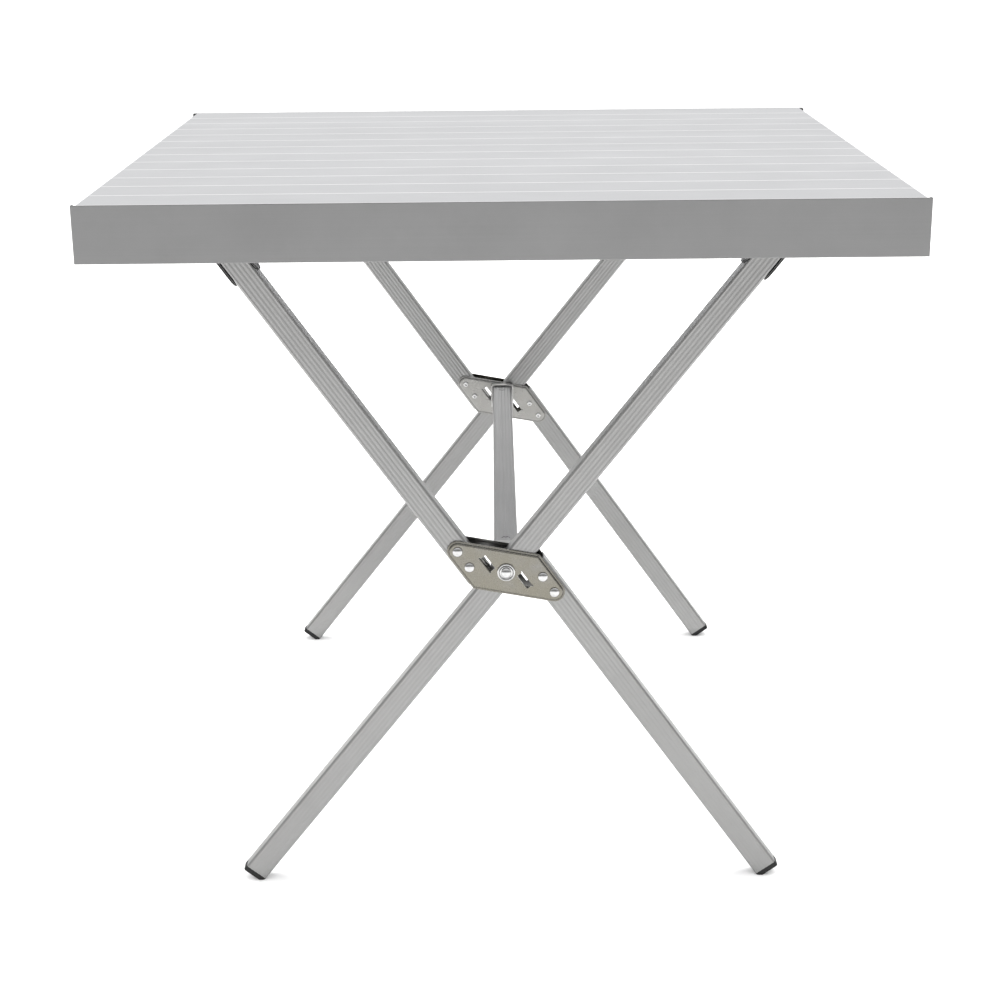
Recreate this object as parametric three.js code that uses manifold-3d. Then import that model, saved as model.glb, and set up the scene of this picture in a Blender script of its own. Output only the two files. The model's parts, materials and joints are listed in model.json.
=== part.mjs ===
// Folding side table: a slatted aluminium top on a scissor frame. Millimetres, +Z up.
// The origin is on the floor under the middle of the top, +X to the right, +Y to the back.
//
// Each end of the table has one X. Two half-legs, upper left and lower right, are riveted
// between two pressed hub plates. One long leg, upper right to lower left, passes between
// the plates and turns on the hub's pivot rivet. A stretcher joins the front hub to the
// rear hub. The upper ends carry two round rails that run front to back under the slats.
import * as THREE from 'three';
import { mergeVertices } from 'three/addons/utils/BufferGeometryUtils.js';
import Module from 'manifold-3d';

const wasm = await Module();
wasm.setup();

// ---- Driving dimensions --------------------------------------------------------------

const TOUCH_GAP = 0.3; // left between pieces that rest on each other

const TABLE_HEIGHT = 700;
const SLAT_COUNT = 13;
const SLAT_PITCH = 57.3;
const SLAT_LENGTH = 765;
const SLAT_THICKNESS = 14;
const SLAT_WALL = 1;
const SLAT_BEVEL = 1.1;
const SLAT_CELLS = 3;

const APRON_LENGTH = 775;
const APRON_HEIGHT = 53.5;
const APRON_SHEET = 1.5;
const APRON_LEDGE = 14;
const APRON_RETURN = 12;
const APRON_END_RETURN = 8;

const LEG_WIDTH = 24;
const LEG_DEPTH = 17.4;
const LEG_CORNER = 2.5;
const LEG_WALL = 1.3;
const LEG_INSET = 36.3; // apron face to the leg's outer face
const FLUTE_COUNT = 5;
const FLUTE_PITCH = 4;
const FLUTE_WIDTH = 2.6;
const FLUTE_DEPTH = 0.4;

const HALF_LEG_ANGLE = THREE.MathUtils.degToRad(35.35); // from the vertical
const LONG_LEG_ANGLE = THREE.MathUtils.degToRad(38.45);
const HALF_LEG_OFFSET = 26; // pivot to a half-leg's centre line
const HALF_LEG_START = 9.6; // pivot to a half-leg's hub end, along the leg
const HUB_X = 1.6;
const HUB_Z = 334.7;

const PLATE_SHEET = 1.4;
const PLATE_DEPTH = 2.8;
const PLATE_HALF_WIDTH = 36.3;
const PLATE_LONG_CORNER = 70; // along the leg, from the pivot to a sharp corner
const PLATE_SHORT_CORNER = 4.7;
const PLATE_LONG_RADIUS = 10.3;
const PLATE_SHORT_RADIUS = 5;
const TAB_START = 9.4;
const TAB_LENGTH = 16.5;
const TAB_WINDOW = 7.4;
const TAB_REACH = 9.4;

const HUB_RIVET_NEAR = 24.9;
const HUB_RIVET_FAR = 44.5;
const RIVET_FIT = 0.35; // radial, of every shaft in its hole
const HUB_RIVET = { shaft: 2.6, head: 4.85, headHeight: 2.6, tail: 3.2, tailHeight: 1.6 };
const PIVOT_RIVET = { shaft: 4, head: 5, headHeight: 3.2, tail: 6, tailHeight: 2.2 };
const BRACKET_RIVET = { shaft: 2.4, head: 4.4, headHeight: 1.8, tail: 3.6, tailHeight: 1.5 };
const WASHER_RADIUS = 8.8;
const WASHER_THICKNESS = 1.2;
const TAIL_TIP = 0.6; // a rivet tail's end face, as a share of its radius
const TAIL_BEVEL = 0.4; // and where its bevel starts, as a share of its height

const STRETCHER_SIZE = 24;
const STRETCHER_RISE = 7.7; // the stretcher's centre line above the pivot
const SOCKET_SHEET = 2;
const SOCKET_DEPTH = 6.4;
const SOCKET_SKIRT = 7; // how far the socket hangs below the pivot

const RAIL_RADIUS = 11.7;
const RAIL_WALL = 1.2;
const RAIL_LENGTH = 690;
const BRACKET_SHEET = 2;
const BRACKET_REACH = 57; // rail centre to the strap's rounded ends
const BRACKET_RIVET_REACH = 44;

const CARRIER_SHEET = 2.4;
const CARRIER_LENGTH = 714;
const CARRIER_HOOK_LENGTH = 616; // the web and the lip stop short of the legs
const CARRIER_FLANGE_OUT = 38;
const CARRIER_FLANGE_IN = 13;
const CARRIER_LIP_IN = 2;
const LIP_CLEARANCE = 0.5;
const BRACKET_CLEARANCE = 1; // between a leg bracket and the carrier's cut ends
const KEEPER_SHEET = 1.5;
const KEEPER_WIDTH = 20;
const KEEPER_OUTER_RISE = 20;
const KEEPER_INNER_RISE = 25;
const KEEPER_Y = 150;

const FOOT_LIP = 4.9;
const FOOT_PLUG = 12;
const LEG_FLOOR_GAP = 1.2; // floor to the lowest corner of a leg's metal end

// Facets: an arc gets twice its steps.
const CORNER_STEPS = 2;
const PLATE_STEPS = 3;
const STRAP_STEPS = 5;
const RIVET_SIDES = 12;
const DOME_STEPS = 3;
const BORE_SIDES = 12;
const RAIL_SIDES = 24;

// ---- Derived places ------------------------------------------------------------------

const topDepth = SLAT_COUNT * SLAT_PITCH - TOUCH_GAP + 2 * (APRON_SHEET + TOUCH_GAP);
const slatUnderside = TABLE_HEIGHT - SLAT_THICKNESS;
const flangeUnderside = slatUnderside - TOUCH_GAP - CARRIER_SHEET;
const railZ = flangeUnderside - TOUCH_GAP - RAIL_RADIUS;
const legY = topDepth / 2 - LEG_INSET - LEG_DEPTH / 2;
const railRise = railZ - HUB_Z;
const halfLegLead = HALF_LEG_OFFSET * Math.tan(HALF_LEG_ANGLE);
const halfLegRailReach = railRise / Math.cos(HALF_LEG_ANGLE) + halfLegLead;
const longLegRailReach = railRise / Math.cos(LONG_LEG_ANGLE);
const halfLegShift = HALF_LEG_OFFSET / Math.cos(HALF_LEG_ANGLE);
const leftRailX = HUB_X - railRise * Math.tan(HALF_LEG_ANGLE) - halfLegShift;
const rightRailX = HUB_X + railRise * Math.tan(LONG_LEG_ANGLE);
const plateInside = LEG_DEPTH / 2 + TOUCH_GAP;
const plateOutside = plateInside + PLATE_DEPTH;
const socketInside = plateOutside + TOUCH_GAP;
const hubRivetSeat = plateOutside + TOUCH_GAP;
const pivotHeadSeat = hubRivetSeat + WASHER_THICKNESS + TOUCH_GAP;
const pivotTailSeat = socketInside + SOCKET_SHEET + TOUCH_GAP;

// ---- Colours -------------------------------------------------------------------------

const FINISHES = {
  slat: { color: 0xd2d4d8, roughness: 0.45, metalness: 0.8 },
  apron: { color: 0x96989a, roughness: 0.5, metalness: 0.8 },
  leg: { color: 0xb0b0ae, roughness: 0.45, metalness: 0.8 },
  zinc: { color: 0x8f8d80, roughness: 0.35, metalness: 0.9 },
  rivet: { color: 0xb8bcc0, roughness: 0.25, metalness: 1 },
  steel: { color: 0x4a4b4c, roughness: 0.4, metalness: 0.8 },
  rubber: { color: 0x141414, roughness: 0.9, metalness: 0 },
};

// ---- Solids --------------------------------------------------------------------------

function toSolid(geometry) {
  const bare = geometry.clone();
  bare.deleteAttribute('normal');
  bare.deleteAttribute('uv');
  const welded = mergeVertices(bare, 1e-4);
  const corners = welded.index.array;
  const kept = [];
  for (let i = 0; i < corners.length; i += 3) {
    const [a, b, c] = [corners[i], corners[i + 1], corners[i + 2]];
    if (a !== b && b !== c && c !== a) kept.push(a, b, c);
  }
  return new wasm.Manifold(
    new wasm.Mesh({
      numProp: 3,
      vertProperties: new Float32Array(welded.attributes.position.array),
      triVerts: new Uint32Array(kept),
    }),
  );
}

function toGeometry(solid) {
  const mesh = solid.getMesh();
  const geometry = new THREE.BufferGeometry();
  geometry.setAttribute('position', new THREE.BufferAttribute(mesh.vertProperties, 3));
  geometry.setIndex(new THREE.BufferAttribute(mesh.triVerts, 1));
  const faceted = geometry.toNonIndexed();
  faceted.computeVertexNormals();
  return faceted;
}

// Turns a solid's front into its back: Y changes sign, and so does each triangle's winding.
function mirrorY(geometry) {
  const source = geometry.attributes.position;
  const mirrored = geometry.clone();
  const points = mirrored.attributes.position;
  for (let i = 0; i < points.count; i += 3) {
    const corner = [0, 2, 1].map((k) => new THREE.Vector3().fromBufferAttribute(source, i + k));
    corner.forEach((p, k) => points.setXYZ(i + k, p.x, -p.y, p.z));
  }
  mirrored.computeVertexNormals();
  return mirrored;
}

function box(x0, x1, y0, y1, z0, z1) {
  const geometry = new THREE.BoxGeometry(x1 - x0, y1 - y0, z1 - z0);
  return toSolid(geometry.translate((x0 + x1) / 2, (y0 + y1) / 2, (z0 + z1) / 2));
}

function extrude(shape, depth, steps) {
  return new THREE.ExtrudeGeometry(shape, { depth, bevelEnabled: false, curveSegments: steps });
}

// A section drawn in Y and Z, run along X from x0 to x1.
function alongX(shape, x0, x1, steps = CORNER_STEPS) {
  const turn = new THREE.Matrix4().makeBasis(
    new THREE.Vector3(0, 1, 0),
    new THREE.Vector3(0, 0, 1),
    new THREE.Vector3(1, 0, 0),
  );
  return toSolid(extrude(shape, x1 - x0, steps).applyMatrix4(turn).translate(x0, 0, 0));
}

// A section drawn in X and Z, run along Y from y0 to y1.
function alongY(shape, y0, y1, steps = CORNER_STEPS) {
  const turn = new THREE.Matrix4().makeBasis(
    new THREE.Vector3(1, 0, 0),
    new THREE.Vector3(0, 0, 1),
    new THREE.Vector3(0, -1, 0),
  );
  return toSolid(extrude(shape, y1 - y0, steps).applyMatrix4(turn).translate(0, y1, 0));
}

// A section drawn in X and Y, run along Z from z0 to z1.
function alongZ(shape, z0, z1, steps = CORNER_STEPS) {
  return toSolid(extrude(shape, z1 - z0, steps).translate(0, 0, z0));
}

function rodAlongY(radius, x, z, y0, y1, sides = BORE_SIDES) {
  const geometry = new THREE.CylinderGeometry(radius, radius, y1 - y0, sides);
  return toSolid(geometry.translate(x, (y0 + y1) / 2, z));
}

function rodAlongX(radius, z, x0, x1) {
  const geometry = new THREE.CylinderGeometry(radius, radius, x1 - x0, BORE_SIDES);
  return toSolid(geometry.rotateZ(Math.PI / 2).translate((x0 + x1) / 2, 0, z));
}

function polygon(points) {
  return new THREE.Shape(points.map(([x, y]) => new THREE.Vector2(x, y)));
}

function roundedRectangle(path, halfWidth, halfHeight, radius) {
  const x = halfWidth - radius;
  const y = halfHeight - radius;
  path.absarc(x, -y, radius, -Math.PI / 2, 0, false);
  path.absarc(x, y, radius, 0, Math.PI / 2, false);
  path.absarc(-x, y, radius, Math.PI / 2, Math.PI, false);
  path.absarc(-x, -y, radius, Math.PI, 1.5 * Math.PI, false);
  return path;
}

// ---- Top -----------------------------------------------------------------------------

// A slat is a closed extrusion with bevelled upper edges and open hollow cells.
function slat() {
  const half = (SLAT_PITCH - TOUCH_GAP) / 2;
  const end = SLAT_LENGTH / 2;
  const section = polygon([
    [-half, slatUnderside],
    [half, slatUnderside],
    [half, TABLE_HEIGHT - SLAT_BEVEL],
    [half - SLAT_BEVEL, TABLE_HEIGHT],
    [-half + SLAT_BEVEL, TABLE_HEIGHT],
    [-half, TABLE_HEIGHT - SLAT_BEVEL],
  ]);
  let body = alongX(section, -end, end);
  const cell = (2 * half - SLAT_WALL) / SLAT_CELLS;
  for (let i = 0; i < SLAT_CELLS; i++) {
    const y0 = -half + SLAT_WALL + i * cell;
    const y1 = y0 + cell - SLAT_WALL;
    const [z0, z1] = [slatUnderside + SLAT_WALL, TABLE_HEIGHT - SLAT_WALL];
    body = body.subtract(box(-2 * end, 2 * end, y0, y1, z0, z1));
  }
  return toGeometry(body);
}

// The front apron: a deep face with a ledge under the first slat, a return along its
// lower edge and short returns round its ends.
function apron() {
  const face = -topDepth / 2;
  const back = face + APRON_SHEET;
  const low = TABLE_HEIGHT - APRON_HEIGHT;
  const ledgeTop = slatUnderside - TOUCH_GAP;
  const section = polygon([
    [face, low],
    [face + APRON_RETURN, low],
    [face + APRON_RETURN, low + APRON_SHEET],
    [back, low + APRON_SHEET],
    [back, ledgeTop - APRON_SHEET],
    [back + APRON_LEDGE, ledgeTop - APRON_SHEET],
    [back + APRON_LEDGE, ledgeTop],
    [back, ledgeTop],
    [back, TABLE_HEIGHT],
    [face, TABLE_HEIGHT],
  ]);
  const end = APRON_LENGTH / 2;
  const inner = end - APRON_SHEET;
  const depth = face + APRON_END_RETURN;
  return toGeometry(
    alongX(section, -end, end)
      .add(box(-end, -inner, face, depth, low, TABLE_HEIGHT))
      .add(box(inner, end, face, depth, low, TABLE_HEIGHT)),
  );
}

// A carrier is a hooked profile under the slats: a flange over the rail, a web outside it
// and a lip below it, open towards the middle. out is -1 on the left and 1 on the right.
function carrier(railX, out) {
  const at = (distance) => railX + out * distance;
  const web = RAIL_RADIUS + TOUCH_GAP;
  const lipTop = railZ - RAIL_RADIUS - LIP_CLEARANCE;
  const section = polygon([
    [at(-CARRIER_FLANGE_IN), flangeUnderside],
    [at(web), flangeUnderside],
    [at(web), lipTop],
    [at(-CARRIER_LIP_IN), lipTop],
    [at(-CARRIER_LIP_IN), lipTop - CARRIER_SHEET],
    [at(web + CARRIER_SHEET), lipTop - CARRIER_SHEET],
    [at(web + CARRIER_SHEET), flangeUnderside],
    [at(CARRIER_FLANGE_OUT), flangeUnderside],
    [at(CARRIER_FLANGE_OUT), flangeUnderside + CARRIER_SHEET],
    [at(-CARRIER_FLANGE_IN), flangeUnderside + CARRIER_SHEET],
  ]);
  let profile = alongY(section, -CARRIER_LENGTH / 2, CARRIER_LENGTH / 2);
  const swing = RAIL_RADIUS + 2 * TOUCH_GAP + BRACKET_SHEET + BRACKET_CLEARANCE;
  const [x0, x1] = [at(-2 * CARRIER_FLANGE_IN), at(swing)].sort((a, b) => a - b);
  for (const side of [-1, 1]) {
    const [y0, y1] = [side * (CARRIER_HOOK_LENGTH / 2), side * CARRIER_LENGTH].sort((a, b) => a - b);
    profile = profile.subtract(box(x0, x1, y0, y1, railZ - 2 * RAIL_RADIUS, slatUnderside));
  }
  return toGeometry(profile);
}

// A keeper is a bent strap that closes the left hook, so that the left rail only turns.
function keeper(y) {
  const web = RAIL_RADIUS + TOUCH_GAP + CARRIER_SHEET + TOUCH_GAP;
  const outer = leftRailX - web;
  const inner = leftRailX + RAIL_RADIUS + TOUCH_GAP;
  const floor = railZ - RAIL_RADIUS - LIP_CLEARANCE - CARRIER_SHEET - TOUCH_GAP;
  const section = polygon([
    [outer - KEEPER_SHEET, floor - KEEPER_SHEET],
    [inner + KEEPER_SHEET, floor - KEEPER_SHEET],
    [inner + KEEPER_SHEET, floor + KEEPER_INNER_RISE],
    [inner, floor + KEEPER_INNER_RISE],
    [inner, floor],
    [outer, floor],
    [outer, floor + KEEPER_OUTER_RISE],
    [outer - KEEPER_SHEET, floor + KEEPER_OUTER_RISE],
  ]);
  return toGeometry(alongY(section, y - KEEPER_WIDTH / 2, y + KEEPER_WIDTH / 2));
}

// ---- Legs ----------------------------------------------------------------------------
// A leg is drawn upright: X across its wide faces, Y through its depth, Z along it. Its
// group turns it about the hub's pivot, which is the group's origin.

function flutes(outline, faceY, heading) {
  for (let i = 0; i < FLUTE_COUNT; i++) {
    const x = heading * (i - (FLUTE_COUNT - 1) / 2) * FLUTE_PITCH;
    const floorY = faceY - Math.sign(faceY) * FLUTE_DEPTH;
    outline.lineTo(x - (heading * FLUTE_WIDTH) / 2, faceY);
    outline.lineTo(x - (heading * FLUTE_WIDTH) / 4, floorY);
    outline.lineTo(x + (heading * FLUTE_WIDTH) / 4, floorY);
    outline.lineTo(x + (heading * FLUTE_WIDTH) / 2, faceY);
  }
}

function flutedSection(halfWidth, halfDepth) {
  const x = halfWidth - LEG_CORNER;
  const y = halfDepth - LEG_CORNER;
  const outline = new THREE.Shape();
  outline.moveTo(-x, -halfDepth);
  flutes(outline, -halfDepth, 1);
  outline.absarc(x, -y, LEG_CORNER, -Math.PI / 2, 0, false);
  outline.absarc(x, y, LEG_CORNER, 0, Math.PI / 2, false);
  flutes(outline, halfDepth, -1);
  outline.absarc(-x, y, LEG_CORNER, Math.PI / 2, Math.PI, false);
  outline.absarc(-x, -y, LEG_CORNER, Math.PI, 1.5 * Math.PI, false);
  return outline;
}

function hollowSection(halfWidth, halfDepth) {
  const hollow = new THREE.Shape();
  return roundedRectangle(hollow, halfWidth - LEG_WALL, halfDepth - LEG_WALL, LEG_CORNER - LEG_WALL);
}

function legTube(z0, z1, hubHoles, bracketHoleZ) {
  const [halfWidth, halfDepth] = [LEG_WIDTH / 2, LEG_DEPTH / 2];
  const hollow = alongZ(hollowSection(halfWidth, halfDepth), z0 - LEG_WIDTH, z1 + LEG_WIDTH);
  let tube = alongZ(flutedSection(halfWidth, halfDepth), z0, z1).subtract(hollow);
  for (const hole of hubHoles) {
    tube = tube.subtract(rodAlongY(hole.radius + RIVET_FIT, 0, hole.z, -LEG_DEPTH, LEG_DEPTH));
  }
  if (bracketHoleZ) {
    const radius = BRACKET_RIVET.shaft + RIVET_FIT;
    tube = tube.subtract(rodAlongX(radius, bracketHoleZ, -LEG_WIDTH, LEG_WIDTH));
  }
  return toGeometry(tube);
}

// The distance from the hub to a leg's metal end, whose lowest corner is just off the floor.
function legReach(angle, lowestX) {
  return (HUB_Z - lowestX * Math.sin(angle) - LEG_FLOOR_GAP) / Math.cos(angle);
}

const halfLegReach = legReach(-HALF_LEG_ANGLE, HALF_LEG_OFFSET - LEG_WIDTH / 2);
const longLegReach = legReach(LONG_LEG_ANGLE, LEG_WIDTH / 2);

// A rubber foot: a lip under the leg's end and a plug inside it, worn flat on the floor.
// angle turns the drawing about Y as the leg's group does, and x is the leg's centre line.
function foot(reach, x, angle) {
  const lip = new THREE.Shape();
  roundedRectangle(lip, LEG_WIDTH / 2, LEG_DEPTH / 2, LEG_CORNER);
  const plug = new THREE.Shape();
  const inset = LEG_WALL + RIVET_FIT;
  roundedRectangle(plug, LEG_WIDTH / 2 - inset, LEG_DEPTH / 2 - inset, LEG_CORNER - LEG_WALL);
  const lipTop = -reach - TOUCH_GAP;
  const rubber = alongZ(lip, lipTop - FOOT_LIP, lipTop).add(alongZ(plug, lipTop, lipTop + FOOT_PLUG));
  const ground = new THREE.BoxGeometry(2 * TABLE_HEIGHT, 2 * LEG_WIDTH, LEG_WIDTH);
  ground.translate(0, 0, -HUB_Z - LEG_WIDTH / 2);
  ground.rotateY(-angle);
  ground.translate(-x, 0, 0);
  return toGeometry(rubber.subtract(toSolid(ground))).translate(x, 0, 0);
}

// A bracket is a steel strap folded over the rail, with one limb down each narrow side of
// the leg. Its limbs end in half circles, and one rivet passes through both.
function bracket(x, railReach) {
  const inner = LEG_WIDTH / 2 + TOUCH_GAP;
  const outer = inner + BRACKET_SHEET;
  const fold = new THREE.Shape();
  fold.moveTo(outer, -BRACKET_REACH);
  fold.lineTo(outer, 0);
  fold.absarc(0, 0, outer, 0, Math.PI, false);
  fold.lineTo(-outer, -BRACKET_REACH);
  fold.lineTo(-inner, -BRACKET_REACH);
  fold.absarc(0, 0, inner, Math.PI, 0, true);
  fold.lineTo(inner, -BRACKET_REACH);
  const half = LEG_DEPTH / 2;
  const plan = new THREE.Shape();
  plan.absarc(0, half - BRACKET_REACH, half, Math.PI, 2 * Math.PI, false);
  plan.lineTo(half, 2 * outer);
  plan.lineTo(-half, 2 * outer);
  const planSolid = alongX(plan, -2 * outer, 2 * outer, STRAP_STEPS);
  const holeRadius = BRACKET_RIVET.shaft + RIVET_FIT;
  const hole = rodAlongX(holeRadius, -BRACKET_RIVET_REACH, -2 * outer, 2 * outer);
  const strap = alongY(fold, -half, half, STRAP_STEPS).intersect(planSolid).subtract(hole);
  return toGeometry(strap).translate(x, 0, railReach);
}

// ---- Rivets and washers --------------------------------------------------------------

// A rivet along Y: its domed head sits on headY and its flatter tail on tailY, below it.
function rivet(size, headY, tailY) {
  const profile = [
    [0, tailY - size.tailHeight],
    [size.tail * TAIL_TIP, tailY - size.tailHeight],
    [size.tail, tailY - size.tailHeight * TAIL_BEVEL],
    [size.tail, tailY],
    [size.shaft, tailY],
    [size.shaft, headY],
  ];
  for (let i = 0; i < DOME_STEPS; i++) {
    const turn = (i / DOME_STEPS) * (Math.PI / 2);
    profile.push([size.head * Math.cos(turn), headY + size.headHeight * Math.sin(turn)]);
  }
  profile.push([0, headY + size.headHeight]);
  return new THREE.LatheGeometry(profile.map(([x, y]) => new THREE.Vector2(x, y)), RIVET_SIDES);
}

// The hub's rivets have their heads on the outer side of the hub, which is -Y at the front.
function hubRivet(size, x, z, headOut, tailIn) {
  return toGeometry(toSolid(rivet(size, headOut, -tailIn).rotateX(Math.PI).translate(x, 0, z)));
}

function washer(out) {
  const outer = rodAlongY(WASHER_RADIUS, 0, 0, -out - WASHER_THICKNESS, -out, 2 * BORE_SIDES);
  const hole = rodAlongY(PIVOT_RIVET.shaft + RIVET_FIT, 0, 0, -2 * out, 0);
  return toGeometry(outer.subtract(hole));
}

// out is the side of the leg that the head is on, -1 or 1.
function bracketRivet(x, railReach, out) {
  const seat = LEG_WIDTH / 2 + 2 * TOUCH_GAP + BRACKET_SHEET;
  const pin = rivet(BRACKET_RIVET, seat, -seat).rotateZ((-out * Math.PI) / 2);
  return toGeometry(toSolid(pin)).translate(x, 0, railReach - BRACKET_RIVET_REACH);
}

// ---- Hub -----------------------------------------------------------------------------
// The hub's pieces are drawn in the half-legs' turned frame: X across them, Z along them.

// The plate's outline: a parallelogram whose short sides lie along the half-legs, with
// large corners at its sharp ends. inset shrinks it by a sheet's thickness.
function plateOutline(inset) {
  const corners = [
    new THREE.Vector2(-PLATE_HALF_WIDTH, PLATE_LONG_CORNER),
    new THREE.Vector2(-PLATE_HALF_WIDTH, PLATE_SHORT_CORNER),
    new THREE.Vector2(PLATE_HALF_WIDTH, -PLATE_LONG_CORNER),
    new THREE.Vector2(PLATE_HALF_WIDTH, -PLATE_SHORT_CORNER),
  ];
  const radii = [PLATE_LONG_RADIUS, PLATE_SHORT_RADIUS, PLATE_LONG_RADIUS, PLATE_SHORT_RADIUS];
  const outline = new THREE.Shape();
  corners.forEach((corner, i) => {
    const back = corners[(i + 3) % 4].clone().sub(corner).normalize();
    const on = corners[(i + 1) % 4].clone().sub(corner).normalize();
    const halfAngle = Math.acos(back.dot(on)) / 2;
    const middle = back.clone().add(on).normalize();
    const centre = corner.clone().add(middle.multiplyScalar(radii[i] / Math.sin(halfAngle)));
    const startAngle = Math.atan2(back.x, -back.y);
    const sweep = Math.PI - 2 * halfAngle;
    outline.absarc(centre.x, centre.y, radii[i] - inset, startAngle, startAngle + sweep, false);
  });
  return outline;
}

function hubPlate() {
  const dish = alongY(plateOutline(0), -plateOutside, -plateInside, PLATE_STEPS);
  const hollow = alongY(plateOutline(PLATE_SHEET), -plateOutside + PLATE_SHEET, 0, PLATE_STEPS);
  let plate = dish.subtract(hollow);
  const tabX = LEG_WIDTH / 2 + TOUCH_GAP;
  const tabEnd = TAB_START + TAB_LENGTH;
  for (const side of [-1, 1]) {
    const [x0, x1] = [side * tabX, side * (tabX + PLATE_SHEET)].sort((a, b) => a - b);
    const [w0, w1] = [side * tabX, side * (tabX + PLATE_SHEET - TAB_WINDOW)].sort((a, b) => a - b);
    const [z0, z1] = [-side * TAB_START, -side * tabEnd].sort((a, b) => a - b);
    plate = plate.subtract(box(w0, w1, -2 * plateOutside, 0, z0, z1));
    plate = plate.add(box(x0, x1, -plateOutside, TAB_REACH - plateOutside, z0, z1));
    for (const reach of [HUB_RIVET_NEAR, HUB_RIVET_FAR]) {
      const radius = HUB_RIVET.shaft + RIVET_FIT;
      const x = side * HALF_LEG_OFFSET;
      plate = plate.subtract(rodAlongY(radius, x, -side * reach, -2 * plateOutside, 0));
    }
  }
  const pivotHole = rodAlongY(PIVOT_RIVET.shaft + RIVET_FIT, 0, 0, -2 * plateOutside, 0);
  return toGeometry(plate.subtract(pivotHole));
}

// The front socket, upright behind the front hub: a base held by the pivot rivet, and a
// hood over the stretcher's end that is open below.
function socket() {
  const inner = STRETCHER_SIZE / 2 + TOUCH_GAP;
  const outer = inner + SOCKET_SHEET;
  const innerTop = STRETCHER_RISE + inner;
  const outerTop = innerTop + SOCKET_SHEET;
  const deep = socketInside + SOCKET_SHEET + SOCKET_DEPTH;
  const hood = polygon([
    [-outer, -SOCKET_SKIRT],
    [-inner, -SOCKET_SKIRT],
    [-inner, innerTop],
    [inner, innerTop],
    [inner, -SOCKET_SKIRT],
    [outer, -SOCKET_SKIRT],
    [outer, outerTop],
    [-outer, outerTop],
  ]);
  const base = box(-outer, outer, socketInside, socketInside + SOCKET_SHEET, -SOCKET_SKIRT, outerTop);
  const hole = rodAlongY(PIVOT_RIVET.shaft + RIVET_FIT, 0, 0, 0, deep);
  return toGeometry(alongY(hood, socketInside, deep).add(base).subtract(hole));
}

// The stretcher's ends stop clear of the pivot rivets' tails.
function stretcher() {
  const end = legY - pivotTailSeat - PIVOT_RIVET.tailHeight - TOUCH_GAP;
  const half = STRETCHER_SIZE / 2;
  const hollow = alongY(hollowSection(half, half), -legY, legY);
  return toGeometry(alongY(flutedSection(half, half), -end, end).subtract(hollow));
}

function rail() {
  const outer = rodAlongY(RAIL_RADIUS, 0, 0, -RAIL_LENGTH / 2, RAIL_LENGTH / 2, RAIL_SIDES);
  const bore = rodAlongY(RAIL_RADIUS - RAIL_WALL, 0, 0, -RAIL_LENGTH, RAIL_LENGTH, RAIL_SIDES);
  return toGeometry(outer.subtract(bore));
}

// ---- Assembly ------------------------------------------------------------------------

const table = new THREE.Group();

function addPiece(parent, name, geometry, finish, x = 0, y = 0, z = 0) {
  const piece = new THREE.Mesh(geometry, new THREE.MeshStandardMaterial(FINISHES[finish]));
  piece.name = name;
  piece.position.set(x, y, z);
  parent.add(piece);
}

function addTop() {
  const firstY = (-(SLAT_COUNT - 1) / 2) * SLAT_PITCH;
  for (let i = 0; i < SLAT_COUNT; i++) {
    const name = `slat_${String(i + 1).padStart(2, '0')}`;
    addPiece(table, name, slat(), 'slat', 0, firstY + i * SLAT_PITCH, 0);
  }
  addPiece(table, 'front_apron', apron(), 'apron');
  addPiece(table, 'rear_apron', mirrorY(apron()), 'apron');
  addPiece(table, 'left_slat_carrier', carrier(leftRailX, -1), 'apron');
  addPiece(table, 'right_slat_carrier', carrier(rightRailX, 1), 'apron');
  addPiece(table, 'front_rail_keeper', keeper(-KEEPER_Y), 'steel');
  addPiece(table, 'rear_rail_keeper', keeper(KEEPER_Y), 'steel');
}

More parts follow.
